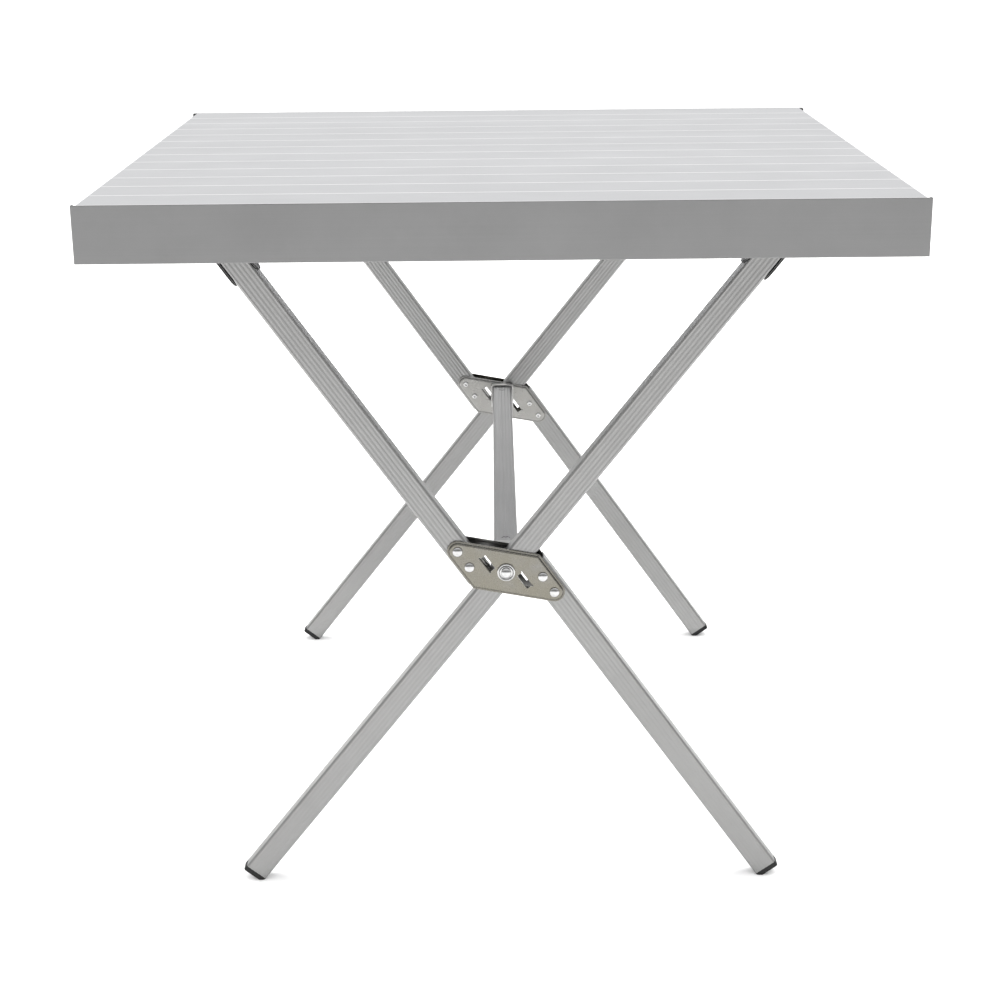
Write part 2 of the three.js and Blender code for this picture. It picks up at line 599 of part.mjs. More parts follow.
// The pieces of one end's X. end is 'front' or 'rear', and facing turns the front's
// drawings into the rear's.
function addLegs(end, y, facing) {
  const halfFrame = new THREE.Group();
  halfFrame.position.set(HUB_X, y, HUB_Z);
  halfFrame.rotation.y = -HALF_LEG_ANGLE;
  const longFrame = new THREE.Group();
  longFrame.position.set(HUB_X, y, HUB_Z);
  longFrame.rotation.y = LONG_LEG_ANGLE;
  const level = new THREE.Group();
  level.position.set(HUB_X, y, HUB_Z);
  table.add(halfFrame, longFrame, level);

  const legEnd = RAIL_RADIUS + 2 * TOUCH_GAP;
  const railEnd = halfLegRailReach - legEnd;
  const fixings = [HUB_RIVET_NEAR, HUB_RIVET_FAR];
  const upperHoles = fixings.map((z) => ({ z, radius: HUB_RIVET.shaft }));
  const lowerHoles = fixings.map((z) => ({ z: -z, radius: HUB_RIVET.shaft }));
  const upperBracketHole = halfLegRailReach - BRACKET_RIVET_REACH;
  const upper = legTube(HALF_LEG_START, railEnd, upperHoles, upperBracketHole);
  const lower = legTube(-halfLegReach, -HALF_LEG_START, lowerHoles, 0);
  addPiece(halfFrame, `${end}_upper_half_leg`, upper, 'leg', -HALF_LEG_OFFSET);
  addPiece(halfFrame, `${end}_lower_half_leg`, lower, 'leg', HALF_LEG_OFFSET);
  const longBracketHole = longLegRailReach - BRACKET_RIVET_REACH;
  const pivotHole = [{ z: 0, radius: PIVOT_RIVET.shaft }];
  const long = legTube(-longLegReach, longLegRailReach - legEnd, pivotHole, longBracketHole);
  addPiece(longFrame, `${end}_long_leg`, long, 'leg');

  const leftBracket = bracket(-HALF_LEG_OFFSET, halfLegRailReach);
  const leftPin = bracketRivet(-HALF_LEG_OFFSET, halfLegRailReach, -1);
  addPiece(halfFrame, `${end}_left_leg_bracket`, leftBracket, 'steel');
  addPiece(halfFrame, `${end}_left_bracket_rivet`, leftPin, 'rivet');
  const rightPin = bracketRivet(0, longLegRailReach, 1);
  addPiece(longFrame, `${end}_right_leg_bracket`, bracket(0, longLegRailReach), 'steel');
  addPiece(longFrame, `${end}_right_bracket_rivet`, rightPin, 'rivet');
  const rightFoot = foot(halfLegReach, HALF_LEG_OFFSET, -HALF_LEG_ANGLE);
  addPiece(halfFrame, `${end}_right_foot`, rightFoot, 'rubber');
  addPiece(longFrame, `${end}_left_foot`, foot(longLegReach, 0, LONG_LEG_ANGLE), 'rubber');

  addPiece(halfFrame, `${end}_outer_hub_plate`, facing(hubPlate()), 'zinc');
  addPiece(halfFrame, `${end}_inner_hub_plate`, facing(mirrorY(hubPlate())), 'zinc');
  let count = 0;
  for (const side of [-1, 1]) {
    for (const reach of fixings) {
      count += 1;
      const pin = hubRivet(HUB_RIVET, side * HALF_LEG_OFFSET, -side * reach, hubRivetSeat, hubRivetSeat);
      addPiece(halfFrame, `${end}_hub_rivet_${count}`, facing(pin), 'rivet');
    }
  }
  const pivotPin = hubRivet(PIVOT_RIVET, 0, 0, pivotHeadSeat, pivotTailSeat);
  addPiece(halfFrame, `${end}_pivot_rivet`, facing(pivotPin), 'rivet');
  addPiece(halfFrame, `${end}_pivot_washer`, facing(washer(hubRivetSeat)), 'rivet');
  addPiece(level, `${end}_stretcher_socket`, facing(socket()), 'zinc');
}

addTop();
addLegs('front', -legY, (geometry) => geometry);
addLegs('rear', legY, mirrorY);
addPiece(table, 'stretcher', stretcher(), 'leg', HUB_X, 0, HUB_Z + STRETCHER_RISE);
addPiece(table, 'left_rail', rail(), 'leg', leftRailX, 0, railZ);
addPiece(table, 'right_rail', rail(), 'leg', rightRailX, 0, railZ);

export default table;
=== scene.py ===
# Folding side table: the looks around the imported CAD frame. Metres, +Z up.
# Every CAD node is stood for by a finer mesh of the same size in the same place, which
# rides on the node's own body. Sheet pieces, rivets and tubes are built again smoothly,
# and the plain profiles are cleaned, given rounded edges and kept.
import json
import math

import bmesh
import bpy
from mathutils import Matrix, Vector


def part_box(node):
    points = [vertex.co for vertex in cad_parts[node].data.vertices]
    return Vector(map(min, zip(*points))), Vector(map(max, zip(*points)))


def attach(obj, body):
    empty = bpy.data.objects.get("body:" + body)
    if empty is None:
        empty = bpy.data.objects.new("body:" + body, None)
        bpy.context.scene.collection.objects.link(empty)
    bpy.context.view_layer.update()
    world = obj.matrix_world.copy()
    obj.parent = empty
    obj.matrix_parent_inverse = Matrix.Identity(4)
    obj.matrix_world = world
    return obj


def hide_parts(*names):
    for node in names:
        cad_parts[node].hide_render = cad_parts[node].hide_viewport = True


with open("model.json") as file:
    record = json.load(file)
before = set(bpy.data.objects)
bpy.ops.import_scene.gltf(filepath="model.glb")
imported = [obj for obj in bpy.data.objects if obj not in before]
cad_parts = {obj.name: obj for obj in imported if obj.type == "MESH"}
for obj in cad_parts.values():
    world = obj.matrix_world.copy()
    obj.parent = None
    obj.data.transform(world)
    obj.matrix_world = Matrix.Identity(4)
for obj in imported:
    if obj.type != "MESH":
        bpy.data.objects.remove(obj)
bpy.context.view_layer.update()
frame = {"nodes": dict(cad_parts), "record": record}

# ---- Sizes, in metres --------------------------------------------------------------

HALF_LEG_ANGLE = math.radians(35.35)  # from the vertical
LONG_LEG_ANGLE = math.radians(38.45)
SLAT_BEVEL = 0.0011
SLAT_EDGE = 0.0003  # the width of a piece's rounded edges, here and below
APRON_EDGE = 0.0006
CARRIER_EDGE = 0.0004
KEEPER_EDGE = 0.0004
TUBE_EDGE = 0.0002
FOOT_EDGE = 0.0007
SOCKET_EDGE = 0.0003
LEG_DEPTH = 0.0174
LEG_WIDTH = 0.024
FLUTE_DEPTH = 0.0004
FLUTES_HALF_WIDTH = 0.0096  # from a tube's centre line to the outside of its last flute
FLUTE_SHARE = 0.6  # how much of that depth shows: the real flutes are worn soft
TOUCH_GAP = 0.0003

PLATE_SHEET = 0.0014
PLATE_DEPTH = 0.0028
PLATE_HALF_WIDTH = 0.0363
PLATE_LONG_CORNER = 0.070
PLATE_SHORT_CORNER = 0.0047
PLATE_LONG_RADIUS = 0.0103
PLATE_SHORT_RADIUS = 0.005
# From the rim to the raised face: how far inside the outline, and how far off the legs.
PLATE_PROFILE = [
    (0.0, 0.0), (0.0, 0.0008), (0.00015, 0.00105), (0.0004, 0.0012), (0.0015, 0.0012),
    (0.0018, 0.0013), (0.0021, 0.0017), (0.0025, 0.0023), (0.0029, 0.00263), (0.0036, 0.0028),
]
PLATE_HOLLOW = [(0.0012, -0.001), (0.0012, 0.0), (0.0021, 0.0005), (0.0032, 0.0012), (0.0038, 0.0014)]
PLATE_FOLD_SHADE = (0.00127, 0.0021)  # the heights on that profile where shade is painted into the fold
TAB_START = 0.0094
TAB_LENGTH = 0.0165
TAB_WINDOW = 0.0074
TAB_REACH = 0.0094
TAB_BEND = 0.0016  # outer radius of a tab's fold
TAB_RELIEF = 0.0009  # radius of the notch at each end of a tab's fold

HUB_RIVET = {"shaft": 0.0026, "head": 0.00485, "rise": 0.0026, "tail": 0.0032, "curl": 0.0016}
PIVOT_RIVET = {"shaft": 0.004, "head": 0.005, "rise": 0.0032, "tail": 0.006, "curl": 0.0022}
BRACKET_RIVET = {"shaft": 0.0024, "head": 0.0044, "rise": 0.0018, "tail": 0.0036, "curl": 0.0015}
WASHER_RADIUS = 0.0088
WASHER_THICKNESS = 0.0012
WASHER_RIM = 0.0009  # radius of its rolled rim
WASHER_CORNER = 0.0003
WASHER_DISH = 0.0007
RIVET_FIT = 0.00035

SOCKET_SHEET = 0.002
SOCKET_BEND = 0.0026

STAKE_RADIUS = 0.0045
STAKE_INNER_RADIUS = 0.0051
STAKE_INNER_OFFSET = 0.0024
STAKE_DEPTH = 0.003
STAKE_INSET = 0.0172  # from the stretcher's end to its crescent mark
RAIL_WALL = 0.0012
RAIL_CHAMFER = 0.0003
BRACKET_SHEET = 0.002
BRACKET_REACH = 0.057
BRACKET_RIVET_REACH = 0.044

ROUND_SIDES = 64
ARC_STEPS = 10

# ---- Places, from the frame --------------------------------------------------------

record = frame["record"]
joints = {joint["name"]: joint for joint in record["behaviour"]["joints"]}
body_of_node = {node: body for body, nodes in record["behaviour"]["bodies"].items() for node in nodes}
hub = Vector(joints["leg_fold"]["pos_m"])
plate_inside = LEG_DEPTH / 2 + TOUCH_GAP
plate_outside = plate_inside + PLATE_DEPTH
rivet_seat = plate_outside + TOUCH_GAP


def middle(node):
    low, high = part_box(node)
    return (low + high) / 2


leg_y = {end: middle(f"{end}_upper_half_leg").y for end in ("front", "rear")}
outward = {"front": -1, "rear": 1}  # the side of each end's legs that faces away from the table

# ---- Mesh helpers ------------------------------------------------------------------


def applied(obj, kind, **settings):
    """Runs one modifier on obj and keeps its result as the mesh."""
    change = obj.modifiers.new(kind.lower(), kind)
    for key, value in settings.items():
        setattr(change, key, value)
    graph = bpy.context.evaluated_depsgraph_get()
    mesh = bpy.data.meshes.new_from_object(obj.evaluated_get(graph))
    obj.modifiers.clear()
    old = obj.data
    obj.data = mesh
    bpy.data.meshes.remove(old)
    return obj


def finish_mesh(obj, sharp_angle):
    """Smooth shading that leaves flat faces flat, with the edges over that many degrees sharp."""
    obj.data.shade_smooth()
    obj.data.set_sharp_from_angle(angle=math.radians(sharp_angle))
    applied(obj, "WEIGHTED_NORMAL", mode="FACE_AREA", weight=100, keep_sharp=True)


def object_from(bm, name):
    bmesh.ops.recalc_face_normals(bm, faces=bm.faces)
    mesh = bpy.data.meshes.new(name)
    bm.to_mesh(mesh)
    bm.free()
    obj = bpy.data.objects.new(name, mesh)
    bpy.context.scene.collection.objects.link(obj)
    return obj


def stand_in(obj, node, material, sharp_angle=32):
    """obj takes the place of a CAD node: same body, its own material."""
    finish_mesh(obj, sharp_angle)
    obj.data.materials.clear()
    obj.data.materials.append(material)
    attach(obj, body_of_node[node])
    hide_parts(node)
    return obj


def combined(obj, other, operation):
    """Adds other to obj or cuts it from obj, and removes other."""
    applied(obj, "BOOLEAN", operation=operation, solver="EXACT", object=other)
    bpy.data.objects.remove(other)
    return obj


def placed(obj, place):
    obj.data.transform(place)
    if place.determinant() < 0:
        obj.data.flip_normals()
    return obj


def round_edges(bm, width, angle, segments=2):
    """Joins the triangles of bm into faces and rounds the edges sharper than angle, in degrees."""
    bmesh.ops.dissolve_limit(bm, angle_limit=math.radians(1), verts=bm.verts, edges=bm.edges)
    edges = [e for e in bm.edges if e.is_manifold and e.calc_face_angle() > math.radians(angle)]
    bmesh.ops.bevel(
        bm, geom=edges, offset=width, segments=segments, profile=0.5, affect="EDGES", clamp_overlap=True
    )


def cleaned(node, name, width, angle=40, segments=2):
    """A CAD node's mesh with whole faces and rounded edges."""
    bm = bmesh.new()
    bm.from_mesh(frame["nodes"][node].data)
    bmesh.ops.remove_doubles(bm, verts=bm.verts, dist=1e-6)
    round_edges(bm, width, angle, segments)
    return object_from(bm, name)


def loft(loops, closed=False):
    """Faces between loops of points, with a flat face on the first and last, or a closed ring."""
    bm = bmesh.new()
    rings = [[bm.verts.new(point) for point in loop] for loop in loops]
    pairs = list(zip(rings, rings[1:]))
    if closed:
        pairs.append((rings[-1], rings[0]))
    for low, high in pairs:
        for i in range(len(low)):
            j = (i + 1) % len(low)
            bm.faces.new((low[i], low[j], high[j], high[i]))
    if not closed:
        bm.faces.new(rings[0])
        bm.faces.new(rings[-1])
    return bm


def arc(centre, radius, start, end, steps=ARC_STEPS):
    """Points on an arc from one angle to another, in degrees."""
    turns = [math.radians(start + (end - start) * i / steps) for i in range(steps + 1)]
    return [(centre[0] + radius * math.cos(t), centre[1] + radius * math.sin(t)) for t in turns]


def lathe(profile, closed=False, sides=ROUND_SIDES):
    """A profile of (radius, height) points turned about the Y axis, where an open one starts and ends."""
    bm = bmesh.new()
    rings = []
    for radius, height in profile:
        if radius < 1e-9:
            rings.append([bm.verts.new((0, height, 0))])
            continue
        turns = [2 * math.pi * i / sides for i in range(sides)]
        rings.append([bm.verts.new((radius * math.cos(t), height, radius * math.sin(t))) for t in turns])
    pairs = list(zip(rings, rings[1:]))
    if closed:
        pairs.append((rings[-1], rings[0]))
    for low, high in pairs:
        for i in range(sides):
            j = (i + 1) % sides
            corners = [low[i % len(low)], low[j % len(low)], high[j % len(high)], high[i % len(high)]]
            bm.faces.new(list(dict.fromkeys(corners)))
    return bm


def prism(outline, y0, y1):
    """An outline of (x, z) points run along Y."""
    return loft([[(x, y, z) for x, z in outline] for y in (y0, y1)])


# ---- Materials ---------------------------------------------------------------------


class Finish:
    """A procedural material: node calls that keep each recipe below short."""

    def __init__(self, name, metallic):
        self.material = bpy.data.materials.new(name)
        self.material.use_nodes = True
        self.tree = self.material.node_tree
        self.shader = self.tree.nodes["Principled BSDF"]
        self.shader.inputs["Metallic"].default_value = metallic
        self.position = self.add("ShaderNodeTexCoord").outputs["Object"]
        self.bumps = None

    def add(self, kind, settings=None, **inputs):
        node = self.tree.nodes.new(kind)
        for key, value in (settings or {}).items():
            setattr(node, key, value)
        for key, value in inputs.items():
            self.feed(node.inputs[key.replace("_", " ")], value)
        return node

    def feed(self, socket, value):
        if isinstance(value, bpy.types.NodeSocket):
            self.tree.links.new(value, socket)
        else:
            socket.default_value = value

    def along(self, axis, length, width):
        """Object coordinates where one unit is length along the axis and width across it."""
        turned = self.position
        if isinstance(axis, float):
            turned = self.add(
                "ShaderNodeVectorRotate", {"rotation_type": "Y_AXIS"}, Vector=turned, Angle=-axis
            ).outputs["Vector"]
            axis = "Z"
        scale = [1 / length if letter == axis else 1 / width for letter in "XYZ"]
        return self.add("ShaderNodeMapping", Vector=turned, Scale=scale).outputs["Vector"]

    def noise(self, where, detail=3.0, roughness=0.55, scale=1.0):
        return self.add(
            "ShaderNodeTexNoise", Vector=where, Scale=scale, Detail=detail, Roughness=roughness
        ).outputs["Fac"]

    def spread(self, value, low, high, from_low=0.3, from_high=0.7):
        node = self.add("ShaderNodeMapRange", {"clamp": True}, Value=value)
        limits = {"From Min": from_low, "From Max": from_high, "To Min": low, "To Max": high}
        for key, number in limits.items():
            node.inputs[key].default_value = number
        return node.outputs["Result"]

    def colours(self, value, stops):
        node = self.add("ShaderNodeValToRGB", Fac=value)
        ramp = node.color_ramp
        ramp.elements[0].position = stops[0][0]
        ramp.elements[0].color = (*stops[0][1], 1)
        ramp.elements[1].position = stops[-1][0]
        ramp.elements[1].color = (*stops[-1][1], 1)
        for position, colour in stops[1:-1]:
            ramp.elements.new(position).color = (*colour, 1)
        return node.outputs["Color"]

    def mixed(self, factor, a, b):
        node = self.add("ShaderNodeMix", {"data_type": "RGBA"})
        self.feed(node.inputs[0], factor)
        self.feed(node.inputs[6], a)
        self.feed(node.inputs[7], b)
        return node.outputs[2]

    def maths(self, operation, a, b, clamp=True):
        node = self.add("ShaderNodeMath", {"operation": operation, "use_clamp": clamp})
        self.feed(node.inputs[0], a)
        self.feed(node.inputs[1], b)
        return node.outputs[0]

    def bump(self, height, distance, strength=1.0):
        node = self.add("ShaderNodeBump", Height=height, Distance=distance, Strength=strength)
        if self.bumps is not None:
            self.feed(node.inputs["Normal"], self.bumps)
        self.bumps = node.outputs["Normal"]

    def edges(self, radius):
        """1 on the rounded edges of the mesh and 0 on its faces, for worn edges, dust and painted
        highlights.
        """
        rounded = self.add("ShaderNodeBevel", {"samples": 4}, Radius=radius).outputs["Normal"]
        flat = self.add("ShaderNodeNewGeometry").outputs["Normal"]
        agree = self.add("ShaderNodeVectorMath", {"operation": "DOT_PRODUCT"})
        self.feed(agree.inputs[0], rounded)
        self.feed(agree.inputs[1], flat)
        return self.spread(agree.outputs["Value"], 1, 0, 0.86, 0.995)

    def between(self, value, low, high, blur):
        """1 where value is between low and high, and 0 a blur's width outside them."""
        rising = self.spread(value, 0, 1, low - blur, low)
        falling = self.spread(value, 1, 0, high, high + blur)
        return self.maths("MULTIPLY", rising, falling)

    def done(self, colour, roughness):
        self.feed(self.shader.inputs["Base Color"], colour)
        self.feed(self.shader.inputs["Roughness"], roughness)
        if self.bumps is not None:
            self.feed(self.shader.inputs["Normal"], self.bumps)
        return self.material


def grey(level, warmth=0.0):
    """A grey with less blue and a little more red when warmth is above 0."""
    return (level * (1 + warmth / 3), level, level * (1 - warmth))


def anodised(name, level, axis, roughness, warmth=0.0, per_strip=0.0, painted_highlight_heights=None):
    """Satin anodised extrusion: fine drawn lines along the axis, faint clouds, edges lightened as worn
    edges and painted highlight.

    The last argument gives the heights between which a painted highlight is laid near white.
    """
    f = Finish(name, 1.0)
    lines = f.noise(f.along(axis, 0.25, 0.00022), detail=2.0)
    broad = f.noise(f.along(axis, 0.9, 0.002), detail=3.0)
    clouds = f.noise(f.position, detail=4.0, scale=14.0)
    grain = f.noise(f.position, detail=2.0, scale=2600.0)
    shade = f.colours(clouds, [(0.3, grey(level * 0.96, warmth)), (0.7, grey(level * 1.03, warmth))])
    shade = f.mixed(f.spread(broad, 0, 0.12), shade, (*grey(level * 1.12, warmth), 1))
    if per_strip:
        across = f.add("ShaderNodeSeparateXYZ", Vector=f.position).outputs["Y"]
        strip = f.maths("FLOOR", f.maths("DIVIDE", across, per_strip, clamp=False), 0.0, clamp=False)
        tone = f.add("ShaderNodeTexWhiteNoise", {"noise_dimensions": "1D"}, W=strip).outputs["Value"]
        shade = f.mixed(f.spread(tone, 0, 0.28, 0, 1), shade, (*grey(level * 0.9, warmth), 1))
    # Worn edges and painted highlight: the rounded edges are lightened.
    wear_and_highlight = f.maths("MULTIPLY", f.edges(0.0008), 0.5)
    shade = f.mixed(wear_and_highlight, shade, (*grey(level * 1.25), 1))
    # Painted highlight: the band of heights given last, the slats' bevels, is painted near white.
    if painted_highlight_heights:
        height = f.add("ShaderNodeSeparateXYZ", Vector=f.position).outputs["Z"]
        shade = f.mixed(f.between(height, *painted_highlight_heights, 0.0001), shade, (*grey(0.95), 1))
    rough = f.spread(lines, roughness - 0.03, roughness + 0.05)
    f.bump(lines, 0.000004, 0.25)
    f.bump(grain, 0.000003, 0.15)
    return f.done(shade, rough)


def zinc(name, level, roughness, yellow, folded=False):
    """Zinc plated pressed sheet: slightly yellowed clouds, fine rolling lines, painted shade in the press
    folds.
    """
    f = Finish(name, 1.0)
    clouds = f.noise(f.position, detail=5.0, scale=46.0)
    streaks = f.noise(f.along("X", 0.05, 0.0006), detail=3.0)
    spots = f.noise(f.position, detail=2.0, scale=900.0)
    shade = f.colours(clouds, [
        (0.32, grey(level, yellow)),
        (0.52, grey(level * 1.03, 0.8 * yellow)),
        (0.72, grey(level * 1.12, 0.4 * yellow)),
    ])
    shade = f.mixed(f.spread(streaks, 0, 0.3), shade, (*grey(level * 0.86, yellow), 1))
    # Worn edges and painted highlight: the rounded edges are lightened.
    shade = f.mixed(f.maths("MULTIPLY", f.edges(0.0005), 0.6), shade, (*grey(0.8), 1))
    # Painted shade: the slope of the press fold is darkened where shade falls.
    if folded:
        height = f.add("ShaderNodeSeparateXYZ", Vector=f.position).outputs["Y"]
        for offset in (leg_y["rear"], plate_inside):
            height = f.maths("ABSOLUTE", height, 0.0, clamp=False)
            height = f.maths("SUBTRACT", height, offset, clamp=False)
        fold = f.between(height, *PLATE_FOLD_SHADE, 0.0001)
        shade = f.mixed(f.maths("MULTIPLY", fold, 0.7), shade, (*grey(level * 0.22), 1))
    rough = f.spread(spots, roughness - 0.05, roughness + 0.1)
    f.bump(clouds, 0.00003, 0.15)
    f.bump(streaks, 0.000006, 0.3)
    return f.done(shade, rough)


def bright_steel(name):
    f = Finish(name, 1.0)
    fine = f.noise(f.position, detail=3.0, scale=1500.0)
    clouds = f.noise(f.position, detail=3.0, scale=300.0)
    shade = f.colours(clouds, [(0.3, grey(0.5, 0.01)), (0.7, grey(0.62))])
    f.bump(fine, 0.000006, 0.3)
    return f.done(shade, f.spread(clouds, 0.1, 0.2))


def dark_steel(name):
    f = Finish(name, 1.0)
    clouds = f.noise(f.position, detail=4.0, scale=90.0)
    fine = f.noise(f.position, detail=2.0, scale=2400.0)
    shade = f.colours(clouds, [(0.3, grey(0.035, 0.02)), (0.7, grey(0.07))])
    shade = f.mixed(f.maths("MULTIPLY", f.edges(0.0006), 0.7), shade, (*grey(0.45), 1))
    f.bump(fine, 0.00002, 0.4)
    return f.done(shade, f.spread(clouds, 0.3, 0.5))


def rubber(name):
    f = Finish(name, 0.0)
    clouds = f.noise(f.position, detail=5.0, scale=120.0)
    fine = f.noise(f.position, detail=3.0, scale=1900.0)
    dust = f.maths("MULTIPLY", f.edges(0.0012), f.spread(clouds, 0, 1, 0.4, 0.65))
    shade = f.mixed(dust, (*grey(0.012), 1), (*grey(0.06, 0.06), 1))
    f.bump(fine, 0.00006, 0.6)
    return f.done(shade, f.spread(clouds, 0.62, 0.85))


slat_pitch = (middle("slat_02") - middle("slat_01")).y
table_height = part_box("slat_01")[1].z
# The slats' bevels, where a highlight is painted.
slat_bevel_highlight = (table_height - SLAT_BEVEL, table_height - 0.0001)
FINISHES = {
    "slat": anodised("slat_aluminium_satin", 0.585, "X", 0.4, -0.02, slat_pitch, slat_bevel_highlight),
    "apron": anodised("apron_aluminium_satin", 0.268, "X", 0.44),
    "half_leg": anodised("half_leg_aluminium_satin", 0.315, -HALF_LEG_ANGLE, 0.42, 0.012),
    "long_leg": anodised("long_leg_aluminium_satin", 0.315, LONG_LEG_ANGLE, 0.42, 0.012),
    "run": anodised("run_aluminium_satin", 0.355, "Y", 0.42),
    "outer_plate": zinc("outer_plate_zinc", 0.205, 0.26, 0.17, True),
    "inner_plate": zinc("inner_plate_zinc", 0.315, 0.3, 0.05, True),
    "socket": zinc("socket_zinc", 0.45, 0.34, 0.03),
    "rivet": bright_steel("rivet_bright_steel"),
    "dark": dark_steel("strap_dark_steel"),
    "rubber": rubber("foot_black_rubber"),
}

# ---- Top ---------------------------------------------------------------------------


def build_top():
    for node in sorted(body_of_node):
        if node.startswith("slat_"):
            # The slats are all alike, so each is the first one moved into its place.
            offset = middle(node) - middle("slat_01")
            slat = cleaned("slat_01", f"{node}_profile", SLAT_EDGE)
            slat = placed(slat, Matrix.Translation(offset))
            stand_in(slat, node, FINISHES["slat"])
    for end in ("front", "rear"):
        node = f"{end}_apron"
        panel = cleaned(node, f"{node}_panel", APRON_EDGE, segments=3)
        stand_in(panel, node, FINISHES["apron"])
        node = f"{end}_rail_keeper"
        strap = cleaned(node, f"{node}_strap", KEEPER_EDGE)
        stand_in(strap, node, FINISHES["dark"])
    for side in ("left", "right"):
        node = f"{side}_slat_carrier"
        profile = cleaned(node, f"{node}_profile", CARRIER_EDGE)
        stand_in(profile, node, FINISHES["run"])


# ---- Legs --------------------------------------------------------------------------


def soft_flutes(obj, y, turn):
    """Raises the floors of a tube's flutes. The tube leans by turn about Y, in the plane at y."""
    across = [v.co.x * math.cos(turn) - v.co.z * math.sin(turn) for v in obj.data.vertices]
    centre = (min(across) + max(across)) / 2
    for vertex, place in zip(obj.data.vertices, across):
        side = math.copysign(1, vertex.co.y - y)
        depth = LEG_DEPTH / 2 - abs(vertex.co.y - y)
        if depth < FLUTE_DEPTH * 1.05 and abs(place - centre) < FLUTES_HALF_WIDTH:
            vertex.co.y += side * depth * (1 - FLUTE_SHARE)


def build_legs(end):
    for part, turn in (
        ("upper_half_leg", -HALF_LEG_ANGLE),
        ("lower_half_leg", -HALF_LEG_ANGLE),
        ("long_leg", LONG_LEG_ANGLE),
    ):
        node = f"{end}_{part}"
        obj = cleaned(node, f"{node}_tube", TUBE_EDGE, 60)
        soft_flutes(obj, leg_y[end], turn)
        finish = "long_leg" if part == "long_leg" else "half_leg"
        stand_in(obj, node, FINISHES[finish], 28)
    for part in ("left_foot", "right_foot"):
        node = f"{end}_{part}"
        foot = cleaned(node, f"{node}_rubber", FOOT_EDGE, 30, 3)
        stand_in(foot, node, FINISHES["rubber"], 50)


def bracket(reach, inner, outer, half):
    """A strap folded over the rail, drawn about the rail's centre: limbs down -Z with round ends."""
    limb = []
    for i in range(ARC_STEPS + 1):
        turn = math.pi / 2 * i / ARC_STEPS
        limb.append((half * max(math.sin(turn), 0.02), -(reach - half + half * math.cos(turn))))

    def limb_loops(side, stations):
        return [
            [(side * outer, -y, z), (side * outer, y, z), (side * inner, y, z), (side * inner, -y, z)]
            for y, z in stations
        ]

    fold = []
    for x, z in arc((0, 0), 1, 0, 180, 24):
        fold.append(
            [(outer * x, -half, outer * z), (outer * x, half, outer * z),
             (inner * x, half, inner * z), (inner * x, -half, inner * z)]
        )
    return loft(limb_loops(1, limb) + fold + limb_loops(-1, limb[::-1]))


def rivet_profile(size, head_seat, tail_seat):
    """A domed head above head_seat, and a rolled tail with a dimple below tail_seat."""
    lip = size["rise"] * 0.14
    dome = [
        (size["head"] * math.cos(t), head_seat + lip + (size["rise"] - lip) * math.sin(t))
        for t in (math.pi / 2 * i / ARC_STEPS for i in range(ARC_STEPS))
    ]
    curl = size["curl"]
    roll = size["tail"] - size["tail"] * 0.36
    ring = [
        (roll + size["tail"] * 0.36 * math.cos(t), -tail_seat - curl * 0.45 - curl * 0.55 * math.sin(t))
        for t in (math.pi * i / ARC_STEPS for i in range(ARC_STEPS + 1))
    ]
    profile = [(0, head_seat + size["rise"])]
    profile += reversed(dome)
    profile += [(size["head"] - 0.0001, head_seat), (size["shaft"], head_seat), (size["shaft"], -tail_seat)]
    profile += [(size["tail"], -tail_seat), *ring]
    profile.append((0, -tail_seat - curl * 0.3))
    return profile


def build_brackets(end):
    inner = LEG_WIDTH / 2 + TOUCH_GAP
    outer = inner + BRACKET_SHEET
    seat = outer + TOUCH_GAP
    for side, angle, out in (("left", -HALF_LEG_ANGLE, -1), ("right", LONG_LEG_ANGLE, 1)):
        rail = middle(f"{side}_rail")
        place = Matrix.Translation((rail.x, leg_y[end], rail.z)) @ Matrix.Rotation(angle, 4, "Y")
        node = f"{end}_{side}_leg_bracket"
        strap = object_from(bracket(BRACKET_REACH, inner, outer, LEG_DEPTH / 2), f"{node}_strap")
        stand_in(placed(strap, place), node, FINISHES["dark"], 40)
        node = f"{end}_{side}_bracket_rivet"
        pin = object_from(lathe(rivet_profile(BRACKET_RIVET, seat, seat)), f"{node}_pin")
        down = Matrix.Translation((0, 0, -BRACKET_RIVET_REACH))
        across = Matrix.Rotation(-out * math.pi / 2, 4, "Z")
        stand_in(placed(pin, place @ down @ across), node, FINISHES["rivet"], 50)


# ---- Hub ---------------------------------------------------------------------------
# A hub's pieces are drawn with X across the half-legs, Z along them and Y outward from
# the legs' middle plane, then turned and, for a side that faces -Y, mirrored.


def hub_place(end, side):
    flip = Matrix.Scale(side, 4, (0, 1, 0))
    return Matrix.Translation((hub.x, leg_y[end], hub.z)) @ Matrix.Rotation(-HALF_LEG_ANGLE, 4, "Y") @ flip


def plate_outline(inset):
    """A parallelogram with its short sides along the half-legs and large corners at its sharp ends."""
    corners = [
        Vector((-PLATE_HALF_WIDTH, PLATE_LONG_CORNER)),
        Vector((-PLATE_HALF_WIDTH, PLATE_SHORT_CORNER)),
        Vector((PLATE_HALF_WIDTH, -PLATE_LONG_CORNER)),
        Vector((PLATE_HALF_WIDTH, -PLATE_SHORT_CORNER)),
    ]
    radii = [PLATE_LONG_RADIUS, PLATE_SHORT_RADIUS] * 2
    points = []
    for i, corner in enumerate(corners):
        back = (corners[i - 1] - corner).normalized()
        on = (corners[(i + 1) % 4] - corner).normalized()
        half_angle = back.angle(on) / 2
        centre = corner + (back + on).normalized() * radii[i] / math.sin(half_angle)
        start = math.degrees(math.atan2(back.x, -back.y))
        sweep = 180 - 2 * math.degrees(half_angle)
        points += arc(centre, radii[i] - inset, start, start + sweep)
    return points


